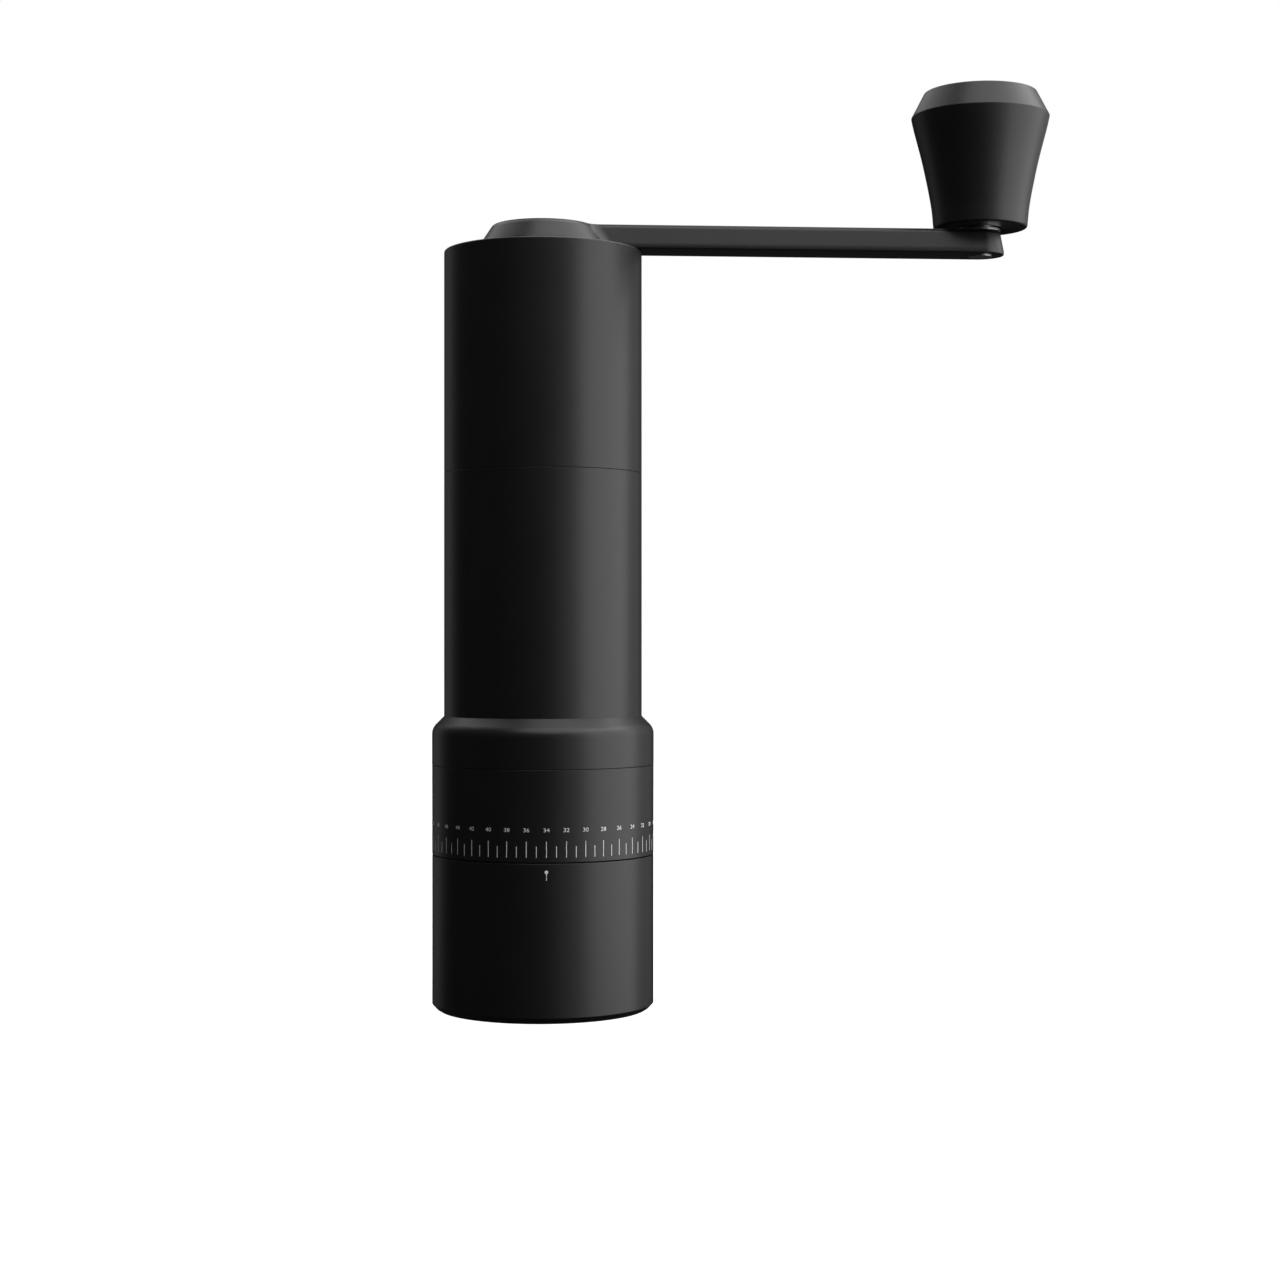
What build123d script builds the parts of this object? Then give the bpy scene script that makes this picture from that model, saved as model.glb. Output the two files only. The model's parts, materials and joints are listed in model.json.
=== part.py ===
from build123d import *
import os
from math import atan2, cos, degrees, radians, sin, sqrt

os.makedirs("parts", exist_ok=True)

# Hand crank coffee grinder, standing on its catch cup. Millimetres, +Z up, table at Z = 0.
# The grinder's axis is the Z axis, the index mark faces -Y and the crank arm points along +X.

# Outside of the grinder
BARREL_R = 28.15
TUBE_R = 25.1
RIM_Z = 192.0
HOPPER_SEAM_Z = 135.7
SHOULDER_TOP_Z = 74.2
SHOULDER_CONE_R = 27.1
SHOULDER_ARC_Z = 69.7
SHOULDER_SEAM_Z = 61.9
CUP_SEAM_Z = 39.25
SEAM_ROUND = 0.1
RIM_EDGE = 0.3

# Fits
RUNNING_GAP = 0.08
FREE_GAP = 0.3
FACE_GAP = 0.2
HOLE_SLACK = 0.05
OVERCUT = 0.5

# Catch cup
PAD_R = 26.5
PAD_THICK = 1.4
PAD_EDGE = 0.25
CUP_BOTTOM_Z = 0.4
CUP_CHAMFER = 1.15
CUP_CHAMFER_R = 27.0
CUP_FLOOR_Z = 4.0
CUP_BORE_R = 25.4
CUP_FLOOR_FILLET = 1.5
CUP_CONE_Z = 27.9
CUP_LEDGE_Z = 31.6
CUP_LEDGE_R = 21.6
MAGNET_R = 2.0
MAGNET_Z = 36.0
MAGNET_THICK = 1.9
MAGNET_ANGLES = (30, 150, 270)
KEY_R = 1.2
KEY_LONG = 4.4
KEY_ANGLE = 90

# Main body
BARREL_BORE_R = 21.2
BARREL_OUT_R = 23.2
BARREL_END_Z = 33.0
SPIGOT_TOP_Z = 143.8
SLOT_WIDTH = 6.4
SLOT_LOW_Z = 46.0
SLOT_HIGH_Z = 54.0
BODY_MAGNET_POCKET = 1.4
BODY_MAGNET_THICK = 1.2
BODY_MAGNET_IN_R = 21.7

# Hopper tube
SOCKET_TOP_Z = 144.0
HOPPER_BORE_R = 22.0
HOPPER_NECK_Z = 184.5
LEDGE_LOW_Z = 186.7
LEDGE_R = 19.8
LEDGE_Z = 188.9
LID_SEAT_R = 21.0

# Dial ring
DIAL_THREAD_R = 25.2
DIAL_GUIDE_Z = 54.0
DIAL_STEP_R = 26.3
SNAP_RING_LOW_Z = 39.8
SNAP_RING_THICK = 1.1
SNAP_RING_OUT_R = 26.0
SNAP_RING_IN_R = 22.6
SNAP_RING_GAP = 5.0
TICK_COUNT = 72
TICK_WIDTH = 0.2
TICK_DEPTH = 0.12
TICK_LOW_Z = 40.6
TICK_LONG = 3.95
TICK_SHORT = 2.75
DETENT_R = 1.0
DETENT_CIRCLE_R = 25.6
DETENT_ANGLES = (90, 210, 330)
DETENT_HOLE_TOP_Z = 68.5
CLICK_SPRING_R = 0.7
CLICK_SPRING_WIRE = 0.2
CLICK_SPRING_TURNS = 5

# Burr carrier and burrs
CARRIER_R = BARREL_BORE_R - RUNNING_GAP
CARRIER_LOW_Z = 43.0
CARRIER_TOP_Z = 60.5
BURR_R = 18.8
RETAINER_TOP_Z = 45.8
OUTER_BURR_TOP_Z = 58.2
OUTER_BURR_TOP_R = 15.5
OUTER_BURR_LOW_R = 17.2
FUNNEL_R = 18.4
LUG_WIDTH = 6.0
LUG_LOW_Z = 48.0
LUG_HIGH_Z = 52.0
LUG_Z = (LUG_LOW_Z + LUG_HIGH_Z) / 2
LUG_SEAT_R = 20.2
LUG_SCREW_R = 0.8
LUG_SCREW_LOW_R = 19.2
LUG_HEAD_R = 1.5
LUG_HEAD_LOW_R = 23.4
LUG_HEAD = 1.0
LUG_OUT_R = DIAL_THREAD_R - FREE_GAP
INNER_BURR_TOP_Z = 61.0
INNER_BURR_TOP_R = 7.5
INNER_BURR_LOW_Z = 46.5
INNER_BURR_EDGE_Z = 47.5
INNER_BURR_LOW_R = 16.6
INNER_FLUTES = 10
INNER_FLUTE_SKEW = 25
INNER_FLUTE_WIDE = 2.0
INNER_FLUTE_DEEP = 2.2
OUTER_FLUTES = 24
OUTER_FLUTE_SKEW = 18
OUTER_FLUTE_WIDE = 1.2
OUTER_FLUTE_DEEP = 1.4
RETAINER_NOTCH = 3.0
RETAINER_NOTCH_DEEP = 1.6
RETAINER_NOTCH_ANGLES = (0, 90, 180, 270)
CARRIER_SPRING_R = 20.0
CARRIER_SPRING_WIRE = 0.6
CARRIER_SPRING_TURNS = 3.5

# Shaft, bearings and bridges
SHAFT_R = 3.5
SHAFT_LOW_Z = 41.0
SHAFT_HEX_Z = 180.0
SHAFT_TOP_Z = 194.9
SHAFT_FLATS = 6.0
SHAFT_EDGE = 0.4
BEARING_R = 9.5
BEARING_WIDE = 6.0
RACE_IN_R = 5.0
RACE_OUT_R = 8.0
BEARING_BALL_R = 1.2
BEARING_BALLS = 7
SHIELD_R = 5.4
SHIELD_THICK = 0.5
SHIELD_INSET = 0.2
UPPER_BEARING_Z = 125.0
LOWER_BEARING_Z = 70.0
BRIDGE_HUB_R = 12.5
BRIDGE_RING_R = 19.2
BRIDGE_LIP_R = 8.6
BRIDGE_LIP = 1.0
BRIDGE_RIB = 3.0
BRIDGE_RIB_INSET = 1.0
RIB_ANGLES = (90, 210, 330)
CIRCLIP_THICK = 0.9
CIRCLIP_GROOVE_R = 3.1
CIRCLIP_R = 5.2
CIRCLIP_GAP = 3.0
WASHER_R = 7.0
WASHER_THICK = 1.2
NUT_FLATS = 11.0
NUT_TALL = 3.6

# Lid
LID_R = 20.6
LID_LOW_Z = 189.0
LID_SKIRT_R = 19.4
LID_SKIRT_Z = 183.5
LID_HOLLOW_R = 17.0
LID_HOLLOW_Z = 188.0
LID_HUB_R = 10.5
LID_HUB_Z = 184.2
LID_BORE_R = 8.0
LID_EDGE = 0.35
O_RING_R = 19.0
O_RING_WIRE = 0.5
O_RING_Z = 187.5
BUSH_LOW_Z = 184.0
BUSH_FLANGE_R = 11.0
BUSH_FLANGE = 0.3

# Crank
ARM_LOW_Z = 192.5
ARM_EDGE_Z = 193.3
ARM_TOP_Z = 198.6
CRANK_THROW = 112.7
ARM_LOW_HALF = 6.05
ARM_TOP_HALF = 5.05
BOSS_LOW_R = 16.4
BOSS_TOP_R = 12.9
NECK_FILLET = 4.0
STEM_R = 6.5
STEM_LOW_Z = 182.4
STEM_TOP_Z = 196.5
SOCKET_FLATS = 6.4
HUB_MAGNET_R = 3.0
HUB_MAGNET_Z = 195.2
HUB_CLIP_Z = 183.0
HUB_CLIP_THICK = 0.8
HUB_CLIP_R = 8.2
HUB_CLIP_GROOVE_R = 6.0
HUB_CLIP_GAP = 4.0

# Knob
AXLE_R = 3.0
AXLE_LOW_Z = 192.2
AXLE_TOP_Z = 227.6
AXLE_FLANGE_R = 5.2
AXLE_FLANGE = 0.6
AXLE_GROOVE_R = 2.3
KNOB_LOW_Z = 199.5
KNOB_BASE_R = 12.0
KNOB_WIDE_R = 17.7
KNOB_WIDE_Z = 228.1
KNOB_FACE_R = 14.4
KNOB_TOP_Z = 234.4
KNOB_BORE_R = 4.8
KNOB_BORE_TOP_Z = 228.6
KNOB_RING_R = 5.6
KNOB_RING_IN_R = 2.7
KNOB_RING_Z = 213.6
KNOB_RING_THICK = 0.8
KNOB_RING_GAP = 3.0
KNOB_FLARE = ((12.7, 206.0), (14.7, 216.0), (17.0, 225.0))
BUSH_LOW_SPAN = (200.0, 208.0)
BUSH_HIGH_SPAN = (219.0, 227.0)


ON_FACE = (Align.CENTER, Align.CENTER, Align.MIN)
KNOB_PLANE = Plane(origin=(CRANK_THROW, 0, 0), x_dir=(1, 0, 0), z_dir=(0, -1, 0))
KNOB_AXIS = Axis((CRANK_THROW, 0, 0), (0, 0, 1))


def section(points, plane=Plane.XZ):
    """Closed half section, given as (radius, height) corners, for turning about an axis."""
    with BuildSketch(plane, mode=Mode.PRIVATE) as half:
        with BuildLine():
            Polyline(*points, close=True)
        make_face()
    return half.sketch


def tube_section(inner, outer, low, high, plane=Plane.XZ):
    """Rectangular half section of a plain ring."""
    return section(((inner, low), (outer, low), (outer, high), (inner, high)), plane)


def outward(angle, radius, height):
    """Placement with its Z axis pointing outwards along a radius and its X axis down."""
    return Rot(0, 0, angle) * Pos(radius, 0, height) * Rot(0, 90, 0)


def upright(angle, radius, height):
    """Placement on a circle round the axis, upright and facing outwards."""
    return Rot(0, 0, angle) * Pos(radius, 0, height)


def clip_gap(inner, outer, low, high, width, centre_x=0):
    """Block that opens a spring ring on its -X side."""
    block = Box(outer - inner + 2 * OVERCUT, width, high - low + 2 * OVERCUT, mode=Mode.PRIVATE)
    return Pos(centre_x - (inner + outer) / 2, 0, (low + high) / 2) * block


def coil(radius, wire, turns, low, high):
    """Open coil spring round the Z axis, between two heights of its wire centre."""
    with BuildPart(mode=Mode.PRIVATE) as spring:
        with BuildLine() as path:
            Helix(pitch=(high - low) / turns, height=high - low, radius=radius, center=(0, 0, low))
        with BuildSketch(Plane(origin=path.line @ 0, z_dir=path.line % 0)):
            Circle(wire)
        sweep(path=path.line, is_frenet=True)
    return spring.part


def crank_outline(half_width, hub_radius):
    """Plan outline of the crank: hub circle, neck arcs, straight sides and round end."""
    neck_y = half_width + NECK_FILLET
    neck_x = sqrt((hub_radius + NECK_FILLET) ** 2 - neck_y ** 2)
    join = hub_radius / (hub_radius + NECK_FILLET)
    hub_x = neck_x * join
    hub_y = neck_y * join
    bend = radians((degrees(atan2(neck_y, neck_x)) + 90) / 2)
    mid_x = neck_x - NECK_FILLET * cos(bend)
    mid_y = neck_y - NECK_FILLET * sin(bend)
    with BuildLine(mode=Mode.PRIVATE) as outline:
        ThreePointArc((hub_x, hub_y), (-hub_radius, 0), (hub_x, -hub_y))
        ThreePointArc((hub_x, -hub_y), (mid_x, -mid_y), (neck_x, -half_width))
        Line((neck_x, -half_width), (CRANK_THROW, -half_width))
        ThreePointArc(
            (CRANK_THROW, -half_width), (CRANK_THROW + half_width, 0), (CRANK_THROW, half_width)
        )
        Line((CRANK_THROW, half_width), (neck_x, half_width))
        ThreePointArc((neck_x, half_width), (mid_x, mid_y), (hub_x, hub_y))
    return outline.line


# ---------------------------------------------------------------- catch cup group

CUP_TOP_Z = CUP_SEAM_Z - FACE_GAP / 2
CUP_NECK_R = BARREL_OUT_R + FREE_GAP
CUP_LEDGE_TOP_Z = BARREL_END_Z - FACE_GAP / 2

with BuildPart() as catch_cup:
    # Turned cup: chamfered foot, pad recess, chamber, seat ledge and thick neck
    with BuildSketch(Plane.XZ):
        with BuildLine():
            Polyline(
                (0, PAD_THICK),
                (PAD_R, PAD_THICK),
                (PAD_R, CUP_BOTTOM_Z),
                (CUP_CHAMFER_R, CUP_BOTTOM_Z),
                (BARREL_R, CUP_BOTTOM_Z + CUP_CHAMFER),
                (BARREL_R, CUP_TOP_Z),
                (CUP_NECK_R, CUP_TOP_Z),
                (CUP_NECK_R, CUP_LEDGE_TOP_Z),
                (CUP_LEDGE_R, CUP_LEDGE_TOP_Z),
                (CUP_LEDGE_R, CUP_LEDGE_Z),
                (CUP_BORE_R, CUP_CONE_Z),
                (CUP_BORE_R, CUP_FLOOR_Z),
                (0, CUP_FLOOR_Z),
                close=True,
            )
        make_face()
    revolve(axis=Axis.Z)
    floor_edge = catch_cup.edges().filter_by_position(Axis.Z, CUP_FLOOR_Z, CUP_FLOOR_Z)
    fillet(floor_edge, CUP_FLOOR_FILLET)
    # Magnet pockets open to the neck
    with Locations(*[outward(angle, CUP_LEDGE_R, MAGNET_Z) for angle in MAGNET_ANGLES]):
        Cylinder(
            MAGNET_R,
            CUP_NECK_R + FREE_GAP + MAGNET_THICK - CUP_LEDGE_R,
            align=ON_FACE,
            mode=Mode.SUBTRACT,
        )
    # Blind hole for the key dowel
    with Locations(outward(KEY_ANGLE, CUP_LEDGE_R, MAGNET_Z)):
        Cylinder(KEY_R, KEY_LONG, align=ON_FACE, mode=Mode.SUBTRACT)
catch_cup.part.label = "catch_cup"
export_step(catch_cup.part, "parts/catch_cup.step")

with BuildPart() as base_pad:
    Cylinder(PAD_R, PAD_THICK, align=ON_FACE)
    fillet(base_pad.edges().filter_by_position(Axis.Z, 0, 0), PAD_EDGE)
base_pad.part.label = "base_pad"
export_step(base_pad.part, "parts/base_pad.step")

with BuildPart() as cup_magnets:
    magnet_face = CUP_NECK_R + FREE_GAP
    with Locations(*[outward(angle, magnet_face, MAGNET_Z) for angle in MAGNET_ANGLES]):
        Cylinder(MAGNET_R, MAGNET_THICK, align=ON_FACE)
cup_magnets.part.label = "cup_magnets"
export_step(cup_magnets.part, "parts/cup_magnets.step")

with BuildPart() as cup_key:
    with Locations(outward(KEY_ANGLE, CUP_LEDGE_R, MAGNET_Z)):
        Cylinder(KEY_R, KEY_LONG, align=ON_FACE)
cup_key.part.label = "cup_key"
export_step(cup_key.part, "parts/cup_key.step")

# ---------------------------------------------------------------- body group

SHOULDER_LOW_Z = SHOULDER_SEAM_Z + RUNNING_GAP / 2
SHOULDER_CONE_Z = SHOULDER_TOP_Z - (SHOULDER_CONE_R - TUBE_R)
RING_GROOVE_TOP_Z = SNAP_RING_LOW_Z + SNAP_RING_THICK

with BuildPart() as main_body:
    # Turned outside with the rounded shoulder, and the straight bore
    with BuildSketch(Plane.XZ):
        with BuildLine():
            Polyline(
                (BARREL_R, SHOULDER_ARC_Z),
                (BARREL_R, SHOULDER_LOW_Z),
                (BARREL_OUT_R, SHOULDER_LOW_Z),
                (BARREL_OUT_R, RING_GROOVE_TOP_Z),
                (SNAP_RING_IN_R, RING_GROOVE_TOP_Z),
                (SNAP_RING_IN_R, SNAP_RING_LOW_Z),
                (BARREL_OUT_R, SNAP_RING_LOW_Z),
                (BARREL_OUT_R, BARREL_END_Z),
                (BARREL_BORE_R, BARREL_END_Z),
                (BARREL_BORE_R, SPIGOT_TOP_Z),
                (BARREL_OUT_R, SPIGOT_TOP_Z),
                (BARREL_OUT_R, HOPPER_SEAM_Z),
                (TUBE_R, HOPPER_SEAM_Z),
                (TUBE_R, SHOULDER_TOP_Z),
                (SHOULDER_CONE_R, SHOULDER_CONE_Z),
            )
            TangentArc(
                (BARREL_R, SHOULDER_ARC_Z),
                (SHOULDER_CONE_R, SHOULDER_CONE_Z),
                tangent=(0, 1),
            )
        make_face()
    revolve(axis=Axis.Z)
    for seam in (HOPPER_SEAM_Z, SHOULDER_LOW_Z):
        seam_edges = main_body.edges().filter_by_position(Axis.Z, seam, seam)
        fillet(seam_edges.sort_by(SortBy.RADIUS)[-1], SEAM_ROUND)
    # Three upright slots that let the carrier lugs reach the dial
    with Locations(*[outward(angle, BARREL_BORE_R - OVERCUT, (SLOT_LOW_Z + SLOT_HIGH_Z) / 2)
                     for angle in MAGNET_ANGLES]):
        Box(
            SLOT_HIGH_Z - SLOT_LOW_Z,
            SLOT_WIDTH,
            BARREL_OUT_R - BARREL_BORE_R + 2 * OVERCUT,
            align=ON_FACE,
            mode=Mode.SUBTRACT,
        )
    # Pockets for the magnets that meet the cup's
    with Locations(*[outward(angle, BODY_MAGNET_IN_R, MAGNET_Z) for angle in MAGNET_ANGLES]):
        Cylinder(MAGNET_R, 2 * BODY_MAGNET_POCKET, align=ON_FACE, mode=Mode.SUBTRACT)
    # Key slot, open at the barrel's end
    key_slot_top = MAGNET_Z + KEY_R + FREE_GAP
    with Locations(upright(KEY_ANGLE, BARREL_BORE_R - OVERCUT, BARREL_END_Z - OVERCUT)):
        Box(
            BARREL_OUT_R - BARREL_BORE_R + 2 * OVERCUT,
            2 * (KEY_R + FREE_GAP),
            key_slot_top - BARREL_END_Z + OVERCUT,
            align=(Align.MIN, Align.CENTER, Align.MIN),
            mode=Mode.SUBTRACT,
        )
    # Blind holes for the click springs and balls
    with Locations(*[upright(angle, DETENT_CIRCLE_R, SHOULDER_LOW_Z) for angle in DETENT_ANGLES]):
        Cylinder(
            DETENT_R + HOLE_SLACK,
            DETENT_HOLE_TOP_Z - SHOULDER_LOW_Z,
            align=ON_FACE,
            mode=Mode.SUBTRACT,
        )
main_body.part.label = "main_body"
export_step(main_body.part, "parts/main_body.step")

with BuildPart() as hopper_tube:
    revolve(
        section(
            (
                (BARREL_OUT_R, HOPPER_SEAM_Z),
                (TUBE_R - SEAM_ROUND, HOPPER_SEAM_Z),
                (TUBE_R, HOPPER_SEAM_Z + SEAM_ROUND),
                (TUBE_R, RIM_Z - RIM_EDGE),
                (TUBE_R - RIM_EDGE, RIM_Z),
                (LID_SEAT_R + RIM_EDGE, RIM_Z),
                (LID_SEAT_R, RIM_Z - RIM_EDGE),
                (LID_SEAT_R, LEDGE_Z),
                (LEDGE_R, LEDGE_Z),
                (LEDGE_R, LEDGE_LOW_Z),
                (HOPPER_BORE_R, HOPPER_NECK_Z),
                (HOPPER_BORE_R, SOCKET_TOP_Z),
                (BARREL_OUT_R, SOCKET_TOP_Z),
            )
        ),
        axis=Axis.Z,
    )
hopper_tube.part.label = "hopper_tube"
export_step(hopper_tube.part, "parts/hopper_tube.step")

with BuildPart() as body_magnets:
    with Locations(*[outward(angle, BODY_MAGNET_IN_R, MAGNET_Z) for angle in MAGNET_ANGLES]):
        Cylinder(MAGNET_R, BODY_MAGNET_THICK, align=ON_FACE)
body_magnets.part.label = "body_magnets"
export_step(body_magnets.part, "parts/body_magnets.step")

with BuildPart() as dial_snap_ring:
    revolve(
        tube_section(SNAP_RING_IN_R, SNAP_RING_OUT_R, SNAP_RING_LOW_Z, RING_GROOVE_TOP_Z),
        axis=Axis.Z,
    )
    add(
        clip_gap(SNAP_RING_IN_R, SNAP_RING_OUT_R, SNAP_RING_LOW_Z, RING_GROOVE_TOP_Z,
                 SNAP_RING_GAP),
        mode=Mode.SUBTRACT,
    )
dial_snap_ring.part.label = "dial_snap_ring"
export_step(dial_snap_ring.part, "parts/dial_snap_ring.step")

DETENT_Z = SHOULDER_SEAM_Z

with BuildPart() as detent_balls:
    with Locations(*[upright(angle, DETENT_CIRCLE_R, DETENT_Z) for angle in DETENT_ANGLES]):
        Sphere(DETENT_R)
detent_balls.part.label = "detent_balls"
export_step(detent_balls.part, "parts/detent_balls.step")

with BuildPart() as detent_springs:
    click_spring = coil(
        CLICK_SPRING_R,
        CLICK_SPRING_WIRE,
        CLICK_SPRING_TURNS,
        DETENT_Z + DETENT_R + FREE_GAP,
        DETENT_HOLE_TOP_Z - CLICK_SPRING_WIRE,
    )
    with Locations(*[upright(angle, DETENT_CIRCLE_R, 0) for angle in DETENT_ANGLES]):
        add(click_spring)
detent_springs.part.label = "detent_springs"
export_step(detent_springs.part, "parts/detent_springs.step")

for name, low, lip_low in (
    ("upper_bridge", UPPER_BEARING_Z, UPPER_BEARING_Z - BRIDGE_LIP),
    ("lower_bridge", LOWER_BEARING_Z, LOWER_BEARING_Z + BEARING_WIDE),
):
    # Hub with a lip behind the bearing, outer ring and three ribs
    base = min(low, lip_low)
    tall = BEARING_WIDE + BRIDGE_LIP
    with BuildPart() as bridge:
        revolve(tube_section(BEARING_R, BRIDGE_HUB_R, base, base + tall), axis=Axis.Z)
        revolve(tube_section(BRIDGE_LIP_R, BRIDGE_HUB_R, lip_low, lip_low + BRIDGE_LIP), axis=Axis.Z)
        revolve(tube_section(BRIDGE_RING_R, BARREL_BORE_R, base, base + tall), axis=Axis.Z)
        with Locations(*[upright(angle, BRIDGE_HUB_R - OVERCUT, base + BRIDGE_RIB_INSET)
                         for angle in RIB_ANGLES]):
            Box(
                BRIDGE_RING_R - BRIDGE_HUB_R + 2 * OVERCUT,
                BRIDGE_RIB,
                tall - 2 * BRIDGE_RIB_INSET,
                align=(Align.MIN, Align.CENTER, Align.MIN),
            )
    bridge.part.label = name
    export_step(bridge.part, f"parts/{name}.step")

with BuildPart() as bearing_outer_races:
    for low in (LOWER_BEARING_Z, UPPER_BEARING_Z):
        high = low + BEARING_WIDE
        revolve(tube_section(RACE_OUT_R, BEARING_R, low, high), axis=Axis.Z)
        for shield in (low + SHIELD_INSET, high - SHIELD_INSET - SHIELD_THICK):
            revolve(tube_section(SHIELD_R, RACE_OUT_R, shield, shield + SHIELD_THICK), axis=Axis.Z)
bearing_outer_races.part.label = "bearing_outer_races"
export_step(bearing_outer_races.part, "parts/bearing_outer_races.step")

with BuildPart() as bearing_balls:
    for low in (LOWER_BEARING_Z, UPPER_BEARING_Z):
        with Locations((0, 0, low + BEARING_WIDE / 2)):
            with PolarLocations((RACE_IN_R + RACE_OUT_R) / 2, BEARING_BALLS):
                Sphere(BEARING_BALL_R)
bearing_balls.part.label = "bearing_balls"
export_step(bearing_balls.part, "parts/bearing_balls.step")

carrier_spring = coil(
    CARRIER_SPRING_R,
    CARRIER_SPRING_WIRE,
    CARRIER_SPRING_TURNS,
    CARRIER_TOP_Z + CARRIER_SPRING_WIRE,
    LOWER_BEARING_Z - CARRIER_SPRING_WIRE,
)
carrier_spring.label = "carrier_spring"
export_step(carrier_spring, "parts/carrier_spring.step")

# ---------------------------------------------------------------- adjustment group

DIAL_LOW_Z = CUP_SEAM_Z + FACE_GAP / 2
DIAL_TOP_Z = SHOULDER_SEAM_Z - RUNNING_GAP / 2
DIAL_STEP_Z = RING_GROOVE_TOP_Z + FACE_GAP
DIAL_GUIDE_R = BARREL_OUT_R + RUNNING_GAP

with BuildPart() as dial_ring:
    revolve(
        section(
            (
                (DIAL_STEP_R, DIAL_LOW_Z),
                (BARREL_R, DIAL_LOW_Z),
                (BARREL_R, DIAL_TOP_Z - SEAM_ROUND),
                (BARREL_R - SEAM_ROUND, DIAL_TOP_Z),
                (DIAL_GUIDE_R, DIAL_TOP_Z),
                (DIAL_GUIDE_R, DIAL_GUIDE_Z),
                (DIAL_THREAD_R, DIAL_GUIDE_Z),
                (DIAL_THREAD_R, DIAL_STEP_Z),
                (DIAL_STEP_R, DIAL_STEP_Z),
            )
        ),
        axis=Axis.Z,
    )
    # Round groove in the top face for the click balls
    with BuildSketch(Plane.XZ) as click_groove:
        with Locations((DETENT_CIRCLE_R, DETENT_Z)):
            Circle(DETENT_R + FREE_GAP)
    revolve(axis=Axis.Z, mode=Mode.SUBTRACT)
    # Scale lines, long and short in turn, with a long one over the index
    for parity, length in ((0, TICK_LONG), (1, TICK_SHORT)):
        step = 360 / TICK_COUNT
        with Locations(*[outward(-90 + step * (2 * index + parity), BARREL_R - TICK_DEPTH,
                                 TICK_LOW_Z + length / 2)
                         for index in range(TICK_COUNT // 2)]):
            Box(
                length,
                TICK_WIDTH,
                1,
                align=ON_FACE,
                mode=Mode.SUBTRACT,
            )
dial_ring.part.label = "dial_ring"
export_step(dial_ring.part, "parts/dial_ring.step")

with BuildPart() as burr_carrier:
    revolve(
        section(
            (
                (BURR_R, CARRIER_LOW_Z),
                (CARRIER_R, CARRIER_LOW_Z),
                (CARRIER_R, CARRIER_TOP_Z),
                (FUNNEL_R, CARRIER_TOP_Z),
                (OUTER_BURR_TOP_R, OUTER_BURR_TOP_Z),
                (BURR_R, OUTER_BURR_TOP_Z),
            )
        ),
        axis=Axis.Z,
    )
    # Flat seats for the lugs
    with Locations(*[outward(angle, LUG_SEAT_R, LUG_Z)
                     for angle in MAGNET_ANGLES]):
        Box(
            LUG_HIGH_Z - LUG_LOW_Z,
            LUG_WIDTH,
            3,
            align=ON_FACE,
            mode=Mode.SUBTRACT,
        )
    # Screw holes behind the lugs
    with Locations(*[outward(angle, LUG_SCREW_LOW_R, LUG_Z) for angle in MAGNET_ANGLES]):
        Cylinder(LUG_SCREW_R, 2, align=ON_FACE, mode=Mode.SUBTRACT)
burr_carrier.part.label = "burr_carrier"
export_step(burr_carrier.part, "parts/burr_carrier.step")

with BuildPart() as carrier_lugs:
    with Locations(*[outward(angle, LUG_SEAT_R, LUG_Z) for angle in MAGNET_ANGLES]):
        Box(LUG_HIGH_Z - LUG_LOW_Z, LUG_WIDTH, LUG_OUT_R, align=ON_FACE)
    Cylinder(LUG_OUT_R, 2 * RIM_Z, mode=Mode.INTERSECT)
    with Locations(*[outward(angle, LUG_SEAT_R, LUG_Z) for angle in MAGNET_ANGLES]):
        Cylinder(LUG_SCREW_R, LUG_OUT_R, align=ON_FACE, mode=Mode.SUBTRACT)
    with Locations(*[outward(angle, LUG_HEAD_LOW_R, LUG_Z) for angle in MAGNET_ANGLES]):
        Cylinder(LUG_HEAD_R, LUG_OUT_R, align=ON_FACE, mode=Mode.SUBTRACT)
carrier_lugs.part.label = "carrier_lugs"
export_step(carrier_lugs.part, "parts/carrier_lugs.step")

with BuildPart() as lug_screws:
    with Locations(*[outward(angle, LUG_SCREW_LOW_R, LUG_Z) for angle in MAGNET_ANGLES]):
        Cylinder(LUG_SCREW_R, LUG_HEAD_LOW_R - LUG_SCREW_LOW_R, align=ON_FACE)
    with Locations(*[outward(angle, LUG_HEAD_LOW_R, LUG_Z) for angle in MAGNET_ANGLES]):
        Cylinder(LUG_HEAD_R, LUG_HEAD, align=ON_FACE)
lug_screws.part.label = "lug_screws"
export_step(lug_screws.part, "parts/lug_screws.step")

with BuildPart() as outer_burr:
    revolve(
        section(
            (
                (OUTER_BURR_LOW_R, RETAINER_TOP_Z),
                (BURR_R, RETAINER_TOP_Z),
                (BURR_R, OUTER_BURR_TOP_Z),
                (OUTER_BURR_TOP_R, OUTER_BURR_TOP_Z),
            )
        ),
        axis=Axis.Z,
    )
    # Slanted cutting grooves round the inside
    burr_tall = OUTER_BURR_TOP_Z - RETAINER_TOP_Z
    lean = degrees(atan2(OUTER_BURR_LOW_R - OUTER_BURR_TOP_R, burr_tall))
    middle_r = (OUTER_BURR_LOW_R + OUTER_BURR_TOP_R) / 2
    middle_z = (OUTER_BURR_TOP_Z + RETAINER_TOP_Z) / 2
    with Locations(*[upright(360 / OUTER_FLUTES * index, middle_r, middle_z)
                     * Rot(0, -lean, 0) * Rot(-OUTER_FLUTE_SKEW, 0, 0)
                     for index in range(OUTER_FLUTES)]):
        Box(OUTER_FLUTE_DEEP, OUTER_FLUTE_WIDE, 2 * burr_tall, mode=Mode.SUBTRACT)
outer_burr.part.label = "outer_burr"
export_step(outer_burr.part, "parts/outer_burr.step")

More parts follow.
